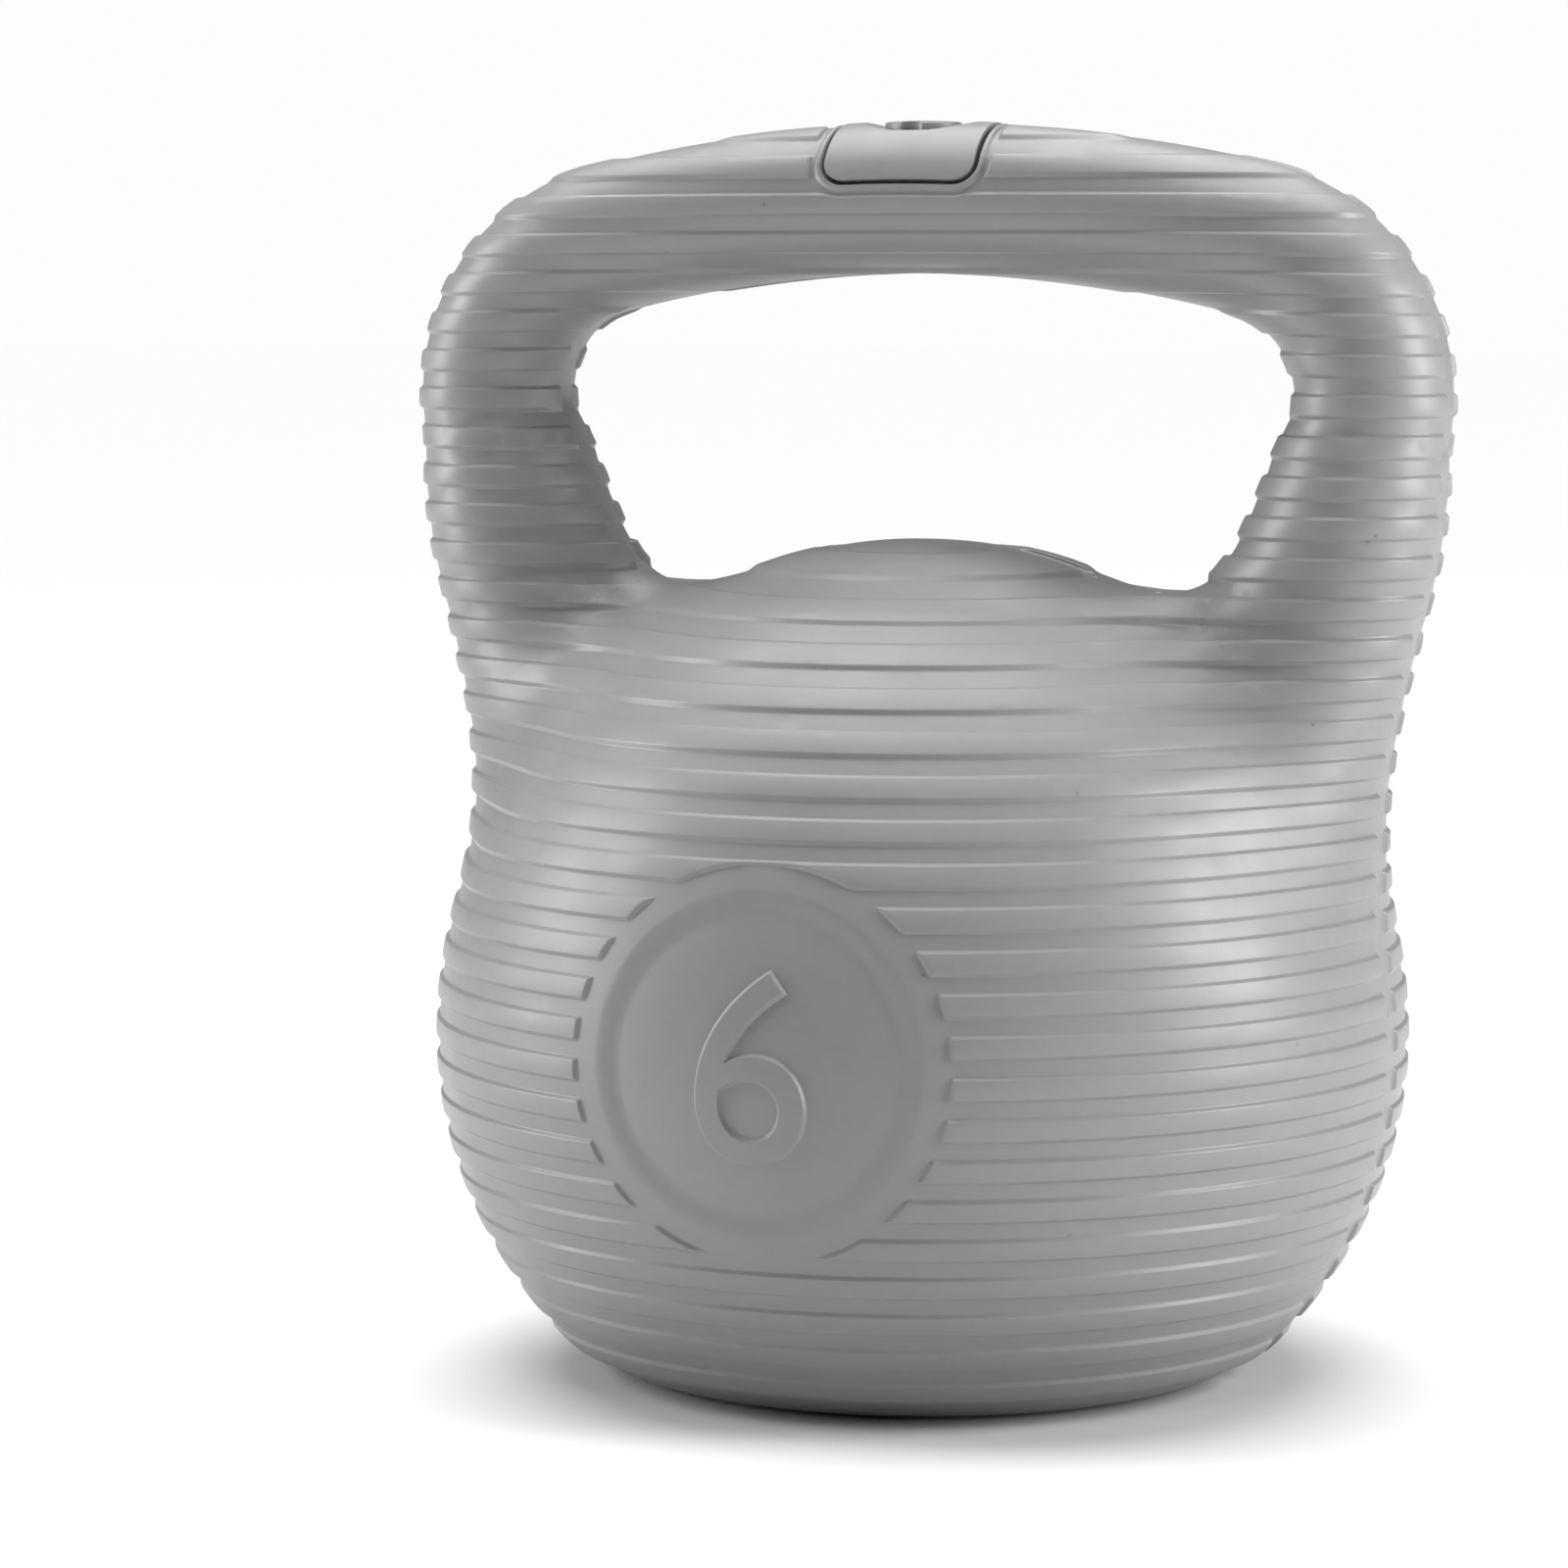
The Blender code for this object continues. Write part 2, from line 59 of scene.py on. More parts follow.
# The skin's level surface, as the CAD shell has it
BALL_RADIUS = 0.1007
BALL_WIDEST_Z = 0.0690
BALL_TOP_RISE = 0.1029
BALL_BOTTOM_DROP = 0.0929
BASE_ROUND = 0.008
BAR_CENTRE_Z = 0.2408
BAR_ARCH_RADIUS = 0.3015
HANDLE_HALF_SPAN = 0.0953
BEND_RADIUS = 0.0328
LEG_LEAN_TOP = math.radians(13.8)
LEG_LEAN_FOOT = math.radians(5.0)
LEG_FOOT_Z = 0.125
BAR_HALF_HEIGHT = 0.0158
LEG_TOP_HALF = 0.0165
LEG_MIDDLE_HALF = 0.0187
LEG_FOOT_HALF = 0.0060
HANDLE_DEPTH_RATIO = 1.12
BLEND = 0.039
WALL = 0.0028
GAP = 0.0003

# Filler cover, neck and plug, as the CAD nodes have them
COVER_HALF_WIDTH = 0.0160
COVER_HALF_ANGLE = math.radians(76.0)
COVER_CORNER = 0.0045
COVER_THICKNESS = 0.0024
COVER_EDGE_GAP = 0.0008
DISH_DEPTH = 0.0020
DISH_SLOPE_WIDTH = 0.0057
BOSS_WALL = 0.0024
GASKET_THICKNESS = 0.0010
SPIGOT_WALL = 0.0015
SPIGOT_LENGTH = 0.0072
BORE_RADIUS = 0.0069
THREAD_DEPTH = 0.0009
THREAD_CLEARANCE = 0.0004
THREAD_PITCH = 0.0030
THREAD_ROOT_WIDTH = 0.0013
THREAD_CREST_WIDTH = 0.0007
THREAD_SUNK = 0.0003
SEAT_LEDGE = 0.0010
HEAD_HEIGHT = 0.0032
HEAD_ROUND = 0.0006
HEAD_CROWN = 0.0003
SCALLOPS = 4
SCALLOP_RADIUS = 0.0042
SCALLOP_DEPTH = 0.0010
SHANK_SHORT = 0.0018
PLUG_WALL = 0.0018
SEAL_THICKNESS = 0.0008

CREST_Z = BAR_CENTRE_Z + BAR_HALF_HEIGHT
RECESS_DEPTH = COVER_THICKNESS + GAP
HEAD_RADIUS = BORE_RADIUS + SEAT_LEDGE
DISH_RIM_RADIUS = HEAD_RADIUS + DISH_SLOPE_WIDTH
SPIGOT_RADIUS = BORE_RADIUS + SPIGOT_WALL
BOSS_RADIUS = SPIGOT_RADIUS + BOSS_WALL
POCKET_RADIUS = BOSS_RADIUS + COVER_EDGE_GAP
UNDERSIDE_HALF = BAR_HALF_HEIGHT - COVER_THICKNESS
UNDERSIDE_SHARE = BOSS_RADIUS / (HANDLE_DEPTH_RATIO * UNDERSIDE_HALF)
BOSS_DEPTH = BAR_HALF_HEIGHT - UNDERSIDE_HALF * math.sqrt(1.0 - UNDERSIDE_SHARE**2) + GAP
LAND_DEPTH = BOSS_DEPTH + GASKET_THICKNESS + 2 * GAP
SEAT_DEPTH = HEAD_HEIGHT + SEAL_THICKNESS + 2 * GAP
SPIGOT_END_DEPTH = BOSS_DEPTH + SPIGOT_LENGTH
SHANK_END_DEPTH = SPIGOT_END_DEPTH - SHANK_SHORT
SHANK_RADIUS = BORE_RADIUS - THREAD_DEPTH - THREAD_CLEARANCE
THREAD_RUN = SPIGOT_END_DEPTH - SEAT_DEPTH - 2 * THREAD_ROOT_WIDTH - THREAD_PITCH / 2
SECTION_REACH = BAR_HALF_HEIGHT * (1.0 + HANDLE_DEPTH_RATIO) / 2.0

# Moulded detail of the skin
RIB_PITCH = 0.0080
RIB_HALF = 0.00217
RIB_FIRST_CENTRE = 0.00752
RIB_COUNT = 32
GROOVE = 0.00082
FLANK = 0.00048
RIB_CROWN = 0.00010
PARTING_STRIP = 0.0036
SEAM_HALF = 0.00035
SEAM_RISE = 0.00012
BASE_CLEAR = 0.0032
BASE_FADE = 0.0012
BASE_PLAIN = 0.0008

MARK_Z = 0.0745
MARK_FACE_Y = 0.030
MARK_RADIUS = 0.0390
DISH_OUTER = 0.0345
DISH_INNER = 0.0290
MARK_DISH = 0.0012
NUMERAL = "6"
NUMERAL_HEIGHT = 0.0380
NUMERAL_RISE = 0.0009
NUMERAL_EDGE = 0.0009
NUMERAL_SPREAD = 0.0005
NUMERAL_CURVE_STEPS = 24
BORDER = 0.0026
RIB_END = 0.0035
LIP_DEPTH = 0.00025
LIP_ROUND = 0.0007
LIP_STEEPEST = 0.98
COVER_RIM_ROUND = 0.0007

# Mesh spacing
SKIN_SPACING = 0.0030
RELAX_ROUNDS = 6
MARK_SPACING = 0.0016
NUMERAL_SPACING = 0.0006
COVER_SPACING = 0.0012
ROUND_SEGMENTS = 96
THREAD_STEPS = 48
SADDLE_COLUMNS = 16
SADDLE_ROWS = 40
TUBE_SIDES = 16
CUT_PAST = 0.004
MERGE = 1e-6
ON_LEVEL = 1e-7
LEVEL_SNAP = 0.00009
SLOPE_PROBE = 1e-5
DETAIL_PROBE = 2e-5
SKIN_TOLERANCE = 6e-5
FACING_SHARE = 0.4
FAR_AWAY = 1.0


# ---------------------------------------------------------------- the skin's level surface


def handle_line():
    """Half of the handle's centreline in X and Z, from mid bar to leg foot, with half heights."""
    reach = BAR_ARCH_RADIUS - BEND_RADIUS
    start = math.asin((HANDLE_HALF_SPAN - BEND_RADIUS) / reach)
    arch_z = BAR_CENTRE_Z - BAR_ARCH_RADIUS
    bend_x = reach * math.sin(start)
    bend_z = arch_z + reach * math.cos(start)
    points = []
    for a in np.linspace(0.0, start, 12):
        points.append((BAR_ARCH_RADIUS * math.sin(a), arch_z + BAR_ARCH_RADIUS * math.cos(a)))
    for a in np.linspace(start, math.pi / 2 + LEG_LEAN_TOP, 16)[1:]:
        points.append((bend_x + BEND_RADIUS * math.sin(a), bend_z + BEND_RADIUS * math.cos(a)))
    knee = len(points) - 1
    knee_x, knee_z = points[knee]
    leg_radius = (knee_z - LEG_FOOT_Z) / (math.sin(LEG_LEAN_FOOT) - math.sin(LEG_LEAN_TOP))
    for a in np.linspace(LEG_LEAN_TOP, LEG_LEAN_FOOT, 14)[1:]:
        x = knee_x + leg_radius * (math.cos(a) - math.cos(LEG_LEAN_TOP))
        z = knee_z - leg_radius * (math.sin(a) - math.sin(LEG_LEAN_TOP))
        points.append((x, z))
    points = np.array(points)
    length = np.concatenate([[0.0], np.cumsum(np.linalg.norm(np.diff(points, axis=0), axis=1))])
    along_bar = np.clip(length / length[knee], 0.0, 1.0)
    bar_half = BAR_HALF_HEIGHT + (LEG_TOP_HALF - BAR_HALF_HEIGHT) * eased(along_bar)
    down = np.clip((length - length[knee]) / (length[-1] - length[knee]), 0.0, 1.0)
    leg_half = (
        LEG_TOP_HALF * (1.0 - down) * (1.0 - 2.0 * down)
        + 4.0 * LEG_MIDDLE_HALF * down * (1.0 - down)
        + LEG_FOOT_HALF * down * (2.0 * down - 1.0)
    )
    return points, np.where(down > 0.0, leg_half, bar_half)


def eased(share):
    """A smooth step from 0 to 1 as share goes from 0 to 1."""
    share = np.clip(share, 0.0, 1.0)
    return share * share * (3.0 - 2.0 * share)


def smooth_min(a, b, width):
    share = np.clip(0.5 + 0.5 * (b - a) / width, 0.0, 1.0)
    return b + (a - b) * share - width * share * (1.0 - share)


def ball_level(p):
    across = np.hypot(p[:, 0], p[:, 1]) / BALL_RADIUS
    rise = p[:, 2] - BALL_WIDEST_Z
    semi = np.where(rise > 0.0, BALL_TOP_RISE, BALL_BOTTOM_DROP)
    size = np.sqrt(across**2 + (rise / semi) ** 2) + 1e-9
    slope = np.hypot(across / BALL_RADIUS, rise / semi**2) / size + 1e-9
    return (size - 1.0) / slope


HANDLE_LINE = handle_line()


def handle_level(p):
    line, half = HANDLE_LINE
    x = np.abs(p[:, 0])
    y = p[:, 1] / HANDLE_DEPTH_RATIO
    nearest = np.full(len(p), FAR_AWAY)
    for a, b, half_a, half_b in zip(line[:-1], line[1:], half[:-1], half[1:]):
        step = b - a
        t = np.clip(((x - a[0]) * step[0] + (p[:, 2] - a[1]) * step[1]) / (step @ step), 0.0, 1.0)
        away = np.sqrt((x - a[0] - t * step[0]) ** 2 + y**2 + (p[:, 2] - a[1] - t * step[1]) ** 2)
        nearest = np.minimum(nearest, away - half_a - t * (half_b - half_a))
    return nearest


def body_level(p):
    """Zero on the outer skin, negative inside."""
    joined = smooth_min(ball_level(p), handle_level(p), BLEND)
    return -smooth_min(-joined, p[:, 2], BASE_ROUND)


def field_slope(field, p, probe):
    steps = [field(p + probe * e) - field(p - probe * e) for e in np.eye(3)]
    return np.stack(steps, 1) / (2.0 * probe)


def level_slope(p):
    return field_slope(body_level, p, SLOPE_PROBE)


def onto_level(p, depth, rounds=3):
    """The points moved square to the skin until they lie this deep below it."""
    for _ in range(rounds):
        slope = level_slope(p)
        p = p - ((body_level(p) + depth) / (slope**2).sum(1))[:, None] * slope
    return p


# ---------------------------------------------------------------- nets of points and triangles


def divide(points, triangles, first, second, share):
    """Puts a point on each edge given by its two ends, at this share from the first end.

    Returns the grown points and the triangles, where each one with a cut edge is split.
    """
    size = len(points)
    fresh = points[first] + share[:, None] * (points[second] - points[first])
    keys = np.minimum(first, second) * (size + 1) + np.maximum(first, second)
    order = np.argsort(keys)
    keys = keys[order]
    sides = np.stack([triangles, np.roll(triangles, -1, axis=1)], 2)
    asked = sides.min(2) * (size + 1) + sides.max(2)
    place = np.clip(np.searchsorted(keys, asked), 0, len(keys) - 1)
    middle = np.where(keys[place] == asked, size + order[place], -1)
    count = (middle >= 0).sum(1)
    out = [triangles[count == 0]]
    for turn in range(3):
        t = np.roll(triangles, -turn, axis=1)
        m = np.roll(middle, -turn, axis=1)
        one = (count == 1) & (m[:, 0] >= 0)
        a, b, c = t[one].T
        out += [np.stack([a, m[one, 0], c], 1), np.stack([m[one, 0], b, c], 1)]
        two = (count == 2) & (m[:, 2] < 0)
        a, b, c = t[two].T
        ab, bc = m[two, 0], m[two, 1]
        out += [np.stack([ab, b, bc], 1), np.stack([a, ab, bc], 1), np.stack([a, bc, c], 1)]
    three = count == 3
    a, b, c = triangles[three].T
    ab, bc, ca = middle[three].T
    out += [np.stack(x, 1) for x in ((a, ab, ca), (ab, b, bc), (ca, bc, c), (ab, bc, ca))]
    return np.concatenate([points, fresh]), np.concatenate(out)


def edges_of(triangles):
    pairs = np.concatenate([triangles[:, [0, 1]], triangles[:, [1, 2]], triangles[:, [2, 0]]])
    pairs.sort(axis=1)
    key = np.unique(pairs[:, 0] * (pairs.max() + 1) + pairs[:, 1])
    return key // (pairs.max() + 1), key % (pairs.max() + 1)


def refined(points, triangles, field, reach, longest):
    """Halves the long edges where the field is below reach."""
    while True:
        a, b = edges_of(triangles)
        inside = np.minimum(field(points[a]), field(points[b])) < reach
        long = np.linalg.norm(points[a] - points[b], axis=1) > longest
        pick = inside & long
        if not pick.any():
            return points, triangles
        share = np.full(pick.sum(), 0.5)
        points, triangles = divide(points, triangles, a[pick], b[pick], share)


def split_at(points, triangles, field, levels, snap=0.0):
    """Cuts the triangles along each level of the field, so that edges run along it."""
    value = field(points)
    for level in levels:
        near = np.abs(value - level) < snap
        if snap and near.any():
            points = points.copy()
            points[near, 2] += level - value[near]
            value[near] = level
        off = value - level
        off[np.abs(off) < ON_LEVEL] = 0.0
        corner = off[triangles]
        crossing = (corner.min(1) < 0.0) & (corner.max(1) > 0.0)
        if not crossing.any():
            continue
        part = triangles[crossing]
        a, b = edges_of(part)
        cut = off[a] * off[b] < 0.0
        a, b = a[cut], b[cut]
        share = off[a] / (off[a] - off[b])
        points, part = divide(points, part, a, b, share)
        value = np.concatenate([value, np.full(len(a), level)])
        triangles = np.concatenate([triangles[~crossing], part])
    return points, triangles


# ---------------------------------------------------------------- the moulded detail as fields


def mark_radius(p, side):
    """Distance from the middle of the round mark on the front (-1) or the back (1)."""
    behind = np.maximum(0.0, MARK_FACE_Y - side * p[:, 1])
    return np.hypot(p[:, 0], p[:, 2] - MARK_Z) + 10.0 * behind


def nearest_mark(p):
    return np.minimum(mark_radius(p, -1.0), mark_radius(p, 1.0))


def cover_distance(p):
    """Distance outside the cover's outline, along the skin of the bar; negative under the cover."""
    x = np.clip(p[:, 0], -BAR_ARCH_RADIUS * 0.9, BAR_ARCH_RADIUS * 0.9)
    sag = BAR_ARCH_RADIUS - np.sqrt(BAR_ARCH_RADIUS**2 - x * x)
    angle = np.arctan2(np.abs(p[:, 1]) / HANDLE_DEPTH_RATIO, p[:, 2] - BAR_CENTRE_Z + sag)
    out_x = np.abs(p[:, 0]) - COVER_HALF_WIDTH + COVER_CORNER
    out_s = (angle - COVER_HALF_ANGLE) * SECTION_REACH + COVER_CORNER
    outside = np.hypot(np.maximum(out_x, 0.0), np.maximum(out_s, 0.0))
    return outside + np.minimum(np.maximum(out_x, out_s), 0.0) - COVER_CORNER


def flank_step(value, edge):
    """0 below the edge and 1 above it, with a flank between."""
    return eased((value - edge + FLANK) / (2.0 * FLANK))


def off_centre(z):
    """Height above or below the centre of the nearest rib."""
    return np.abs((z - RIB_FIRST_CENTRE + RIB_PITCH / 2) % RIB_PITCH - RIB_PITCH / 2)


def rib_share(z):
    """1 on a raised rib, 0 in the groove between two."""
    return 1.0 - flank_step(off_centre(z), RIB_HALF)


def rib_crown(z):
    """How far a rib's face falls away towards its two edges."""
    return RIB_CROWN * np.minimum(off_centre(z) / RIB_HALF, 1.0) ** 2


def evaluated_mesh(obj):
    """A new mesh of the object with its modifiers applied."""
    bpy.context.view_layer.update()
    depsgraph = bpy.context.evaluated_depsgraph_get()
    return bpy.data.meshes.new_from_object(obj.evaluated_get(depsgraph))


def numeral_outline():
    """The numeral's outline as edges in X and Z about the middle of the mark."""
    curve = bpy.data.curves.new("numeral_outline", "FONT")
    curve.body = NUMERAL
    curve.align_x = "CENTER"
    curve.align_y = "CENTER"
    curve.resolution_u = NUMERAL_CURVE_STEPS
    text = bpy.data.objects.new("numeral_outline", curve)
    bpy.context.collection.objects.link(text)
    mesh = evaluated_mesh(text)
    bpy.data.objects.remove(text)
    bm = bmesh.new()
    bm.from_mesh(mesh)
    bpy.data.meshes.remove(mesh)
    bmesh.ops.remove_doubles(bm, verts=bm.verts[:], dist=MERGE)
    rim = [e for e in bm.edges if len(e.link_faces) == 1]
    lines = np.array([[v.co.xy[:] for v in e.verts] for e in rim])
    bm.free()
    low, high = lines.reshape(-1, 2).min(0), lines.reshape(-1, 2).max(0)
    return (lines - (low + high) / 2.0) * (NUMERAL_HEIGHT / (high - low)[1])


NUMERAL_LINES = numeral_outline()


def numeral_distance(p):
    """Signed distance from the numeral's outline, negative inside its strokes."""
    flat = p[:, [0, 2]] - (0.0, MARK_Z)
    nearest = np.full(len(p), FAR_AWAY)
    crossings = np.zeros(len(p), int)
    for a, b in NUMERAL_LINES:
        step = b - a
        t = np.clip(((flat - a) @ step) / (step @ step), 0.0, 1.0)
        nearest = np.minimum(nearest, np.linalg.norm(flat - a - t[:, None] * step, axis=1))
        straddles = (a[1] > flat[:, 1]) != (b[1] > flat[:, 1])
        if abs(step[1]) > 0.0:
            at = a[0] + (flat[:, 1] - a[1]) * step[0] / step[1]
            crossings += straddles & (flat[:, 0] < at)
    signed = np.where(crossings % 2 == 1, -nearest, nearest) - NUMERAL_SPREAD
    return np.where(p[:, 1] < -MARK_FACE_Y, signed, FAR_AWAY)


def skin_depth(p):
    """How deep the moulded surface lies below the skin's level, at each of its points."""
    mark = nearest_mark(p)
    away = cover_distance(p)
    ribs = rib_share(p[:, 2]) * eased((p[:, 2] - BASE_CLEAR) / BASE_FADE)
    ribs *= flank_step(np.abs(p[:, 1]), PARTING_STRIP)
    ribs *= flank_step(mark, MARK_RADIUS)
    ribs *= flank_step(away, RIB_END)
    depth = GROOVE * (1.0 - ribs) + rib_crown(p[:, 2]) * ribs
    depth *= eased((p[:, 2] - BASE_PLAIN) / (BASE_CLEAR - BASE_PLAIN))
    lip = 1.0 - eased((away - BORDER + 2.0 * FLANK) / (2.0 * FLANK))
    depth += (LIP_DEPTH - depth) * lip
    rounding = np.clip(1.0 - (away - COVER_EDGE_GAP) / LIP_ROUND, 0.0, 1.0)
    fall = 1.0 - np.sqrt(1.0 - np.minimum(rounding, LIP_STEEPEST) ** 2)
    depth += np.where(away < BORDER, LIP_ROUND * fall, 0.0)
    depth += MARK_DISH * (1.0 - eased((mark - DISH_INNER) / (DISH_OUTER - DISH_INNER)))
    depth -= SEAM_RISE * (1.0 - eased(np.abs(p[:, 1]) / SEAM_HALF)) * eased(away / BORDER - 1.0)
    raised = np.zeros(len(p))
    close = (p[:, 1] < -MARK_FACE_Y) & (mark < DISH_INNER)
    raised[close] = 1.0 - eased((numeral_distance(p[close]) + NUMERAL_EDGE) / NUMERAL_EDGE)
    return depth - NUMERAL_RISE * raised


# ---------------------------------------------------------------- meshes and objects


def add_object(name, data):
    obj = bpy.data.objects.new(name, data)
    bpy.context.collection.objects.link(obj)
    return obj


def from_bmesh(name, bm, lift=0.0):
    """An object of this bmesh, moved up by lift."""
    bmesh.ops.translate(bm, verts=bm.verts[:], vec=(0.0, 0.0, lift))
    bmesh.ops.recalc_face_normals(bm, faces=bm.faces[:])
    mesh = bpy.data.meshes.new(name)
    bm.to_mesh(mesh)
    bm.free()
    return add_object(name, mesh)


def from_net(name, points, triangles):
    mesh = bpy.data.meshes.new(name)
    mesh.vertices.add(len(points))
    mesh.vertices.foreach_set("co", points.astype(np.float32).ravel())
    mesh.loops.add(3 * len(triangles))
    mesh.loops.foreach_set("vertex_index", triangles.astype(np.int32).ravel())
    mesh.polygons.add(len(triangles))
    mesh.polygons.foreach_set("loop_start", np.arange(0, 3 * len(triangles), 3, dtype=np.int32))
    mesh.update(calc_edges=True)
    mesh.validate()
    return add_object(name, mesh)


def applied(obj, kind, **settings):
    """A bmesh of the object as one modifier would leave it."""
    modifier = obj.modifiers.new(kind.lower(), kind)
    for key, value in settings.items():
        setattr(modifier, key, value)
    mesh = evaluated_mesh(obj)
    obj.modifiers.remove(modifier)
    bm = bmesh.new()
    bm.from_mesh(mesh)
    bpy.data.meshes.remove(mesh)
    return bm


def carve(obj, operation, other):
    """Applies a Boolean with another solid, which is used up."""
    modifier = obj.modifiers.new("carve", "BOOLEAN")
    modifier.operation = operation
    modifier.solver = "MANIFOLD"
    modifier.object = other
    mesh = evaluated_mesh(obj)
    obj.modifiers.remove(modifier)
    obj.data = mesh
    bpy.data.objects.remove(other)


def drop_empty_faces(obj):
    """Joins corners that Booleans left at one place, and drops the empty faces between them."""
    bm = bmesh.new()
    bm.from_mesh(obj.data)
    bmesh.ops.remove_doubles(bm, verts=bm.verts[:], dist=MERGE)
    bmesh.ops.dissolve_degenerate(bm, dist=MERGE, edges=bm.edges[:])
    bmesh.ops.triangulate(bm, faces=bm.faces[:])
    bm.to_mesh(obj.data)
    bm.free()


def smooth(obj, angle):
    drop_empty_faces(obj)
    obj.data.shade_smooth()
    obj.data.set_sharp_from_angle(angle=math.radians(angle))


def moulded_normals(points):
    """The moulded surface's own normals, and which of the points lie on it."""
    base = onto_level(points, 0.0, 2)
    normals = level_slope(base)
    normals /= np.linalg.norm(normals, axis=1)[:, None]
    slope = field_slope(skin_depth, base, DETAIL_PROBE)
    slope -= (slope * normals).sum(1)[:, None] * normals
    on_skin = np.abs(body_level(points) + skin_depth(base)) < SKIN_TOLERANCE
    normals = normals + slope
    return normals / np.linalg.norm(normals, axis=1)[:, None], on_skin


def read_out(collection, field, kind, width=1):
    """One value or row of values for each item of a mesh's vertices, corners or faces."""
    values = np.empty(width * len(collection), kind)
    collection.foreach_get(field, values)
    return values if width == 1 else values.reshape(-1, width)


def shade_as_moulded(obj):
    """Shades the outer skin by the moulded surface, and leaves every other face as it is."""
    mesh = obj.data
    normals, on_skin = moulded_normals(read_out(mesh.vertices, "co", float, 3))
    corners = read_out(mesh.loops, "vertex_index", np.int32)
    starts = read_out(mesh.polygons, "loop_start", np.int32)
    sizes = read_out(mesh.polygons, "loop_total", np.int32)
    facing = np.repeat(read_out(mesh.polygons, "normal", float, 3), sizes, axis=0)
    agrees = (normals[corners] * facing).sum(1) > FACING_SHARE
    whole = np.logical_and.reduceat(on_skin[corners] & agrees, starts)
    custom = normals[corners] * np.repeat(whole, sizes)[:, None]
    mesh.normals_split_custom_set(custom.tolist())


def turned(name, profile, lift=CREST_Z, segments=ROUND_SEGMENTS, centre=(0.0, 0.0)):
    """A solid of revolution about an upright axis; the profile is a closed (radius, z) outline."""
    bm = bmesh.new()
    corners = [bm.verts.new((radius, 0.0, z)) for radius, z in profile]
    edges = [bm.edges.new((corners[i - 1], corners[i])) for i in range(len(corners))]
    bmesh.ops.spin(
        bm, geom=corners + edges, cent=(0.0, 0.0, 0.0), axis=(0.0, 0.0, 1.0),
        angle=2.0 * math.pi, steps=segments, use_merge=True,
    )
    bmesh.ops.remove_doubles(bm, verts=bm.verts[:], dist=MERGE)
    on_axis = [e for e in bm.edges if all(math.hypot(v.co.x, v.co.y) < MERGE for v in e.verts)]
    bmesh.ops.delete(bm, geom=on_axis, context="EDGES")
    bmesh.ops.translate(bm, verts=bm.verts[:], vec=(*centre, 0.0))
    bmesh.ops.triangulate(bm, faces=bm.faces[:])
    return from_bmesh(name, bm, lift)


def cylinder(name, radius, top, bottom, centre=(0.0, 0.0)):
    return turned(name, [(0.0, top), (radius, top), (radius, bottom), (0.0, bottom)], centre=centre)


def rounded(corners, segments=4):
    """An outline of (radius, z, rounding) corners with each rounded corner drawn as an arc."""
    out = []
    for i, (r, z, rounding) in enumerate(corners):
        here = np.array([r, z])
        if rounding <= 0.0:
            out.append((r, z))
            continue
        before = np.array(corners[i - 1][:2]) - here
        after = np.array(corners[(i + 1) % len(corners)][:2]) - here
        start = here + before / np.linalg.norm(before) * rounding
        end = here + after / np.linalg.norm(after) * rounding
        for k in range(segments + 1):
            t = k / segments
            point = (1 - t) ** 2 * start + 2 * t * (1 - t) * here + t * t * end
            out.append((float(point[0]), float(point[1])))
    return out


# ---------------------------------------------------------------- shell


def rough_body():
    """An ellipsoid and a tube along the handle: the start that the level surface is pulled from."""
    bm = bmesh.new()
    middle = (BALL_TOP_RISE + BALL_BOTTOM_DROP) / 2.0
    centre_z = BALL_WIDEST_Z + (BALL_TOP_RISE - BALL_BOTTOM_DROP) / 2.0
    stretch = Matrix.Diagonal((BALL_RADIUS, BALL_RADIUS, middle, 1.0))
    place = Matrix.Translation((0.0, 0.0, centre_z)) @ stretch
    bmesh.ops.create_uvsphere(bm, u_segments=48, v_segments=24, radius=1.0, matrix=place)
    line, half = HANDLE_LINE
    side = [(x, z, r) for (x, z), r in zip(line, half)]
    route = [(-x, z, r) for x, z, r in side[:0:-1]] + side
    rings = []
    for i, (x, z, radius) in enumerate(route):
        before = route[max(i - 1, 0)]
        after = route[min(i + 1, len(route) - 1)]
        heading = math.atan2(after[1] - before[1], after[0] - before[0])
        ring = []
        for k in range(TUBE_SIDES):
            turn = 2.0 * math.pi * k / TUBE_SIDES
            out = radius * math.cos(turn)
            y = radius * HANDLE_DEPTH_RATIO * math.sin(turn)
            ring.append(bm.verts.new((x - out * math.sin(heading), y, z + out * math.cos(heading))))
        rings.append(ring)
    for first, second in zip(rings[:-1], rings[1:]):
        for k in range(TUBE_SIDES):
            bm.faces.new((first[k - 1], first[k], second[k], second[k - 1]))
    bm.faces.new(rings[0])
    bm.faces.new(rings[-1])
    return from_bmesh("rough_body", bm)


def even_net(rough, spacing, depth):
    """An even net on the surface that lies this deep below the skin."""
    bm = applied(rough, "REMESH", mode="VOXEL", voxel_size=spacing)
    bmesh.ops.triangulate(bm, faces=bm.faces[:])
    points = np.array([v.co[:] for v in bm.verts])
    triangles = np.array([[v.index for v in f.verts] for f in bm.faces])
    bm.free()
    a, b = edges_of(triangles)
    for _ in range(RELAX_ROUNDS):
        total = np.zeros_like(points)
        np.add.at(total, a, points[b])
        np.add.at(total, b, points[a])
        near = np.bincount(a, minlength=len(points)) + np.bincount(b, minlength=len(points))
        points = 0.5 * points + 0.5 * total / near[:, None]
        points = onto_level(points, depth, 1)
    return onto_level(points, depth), triangles


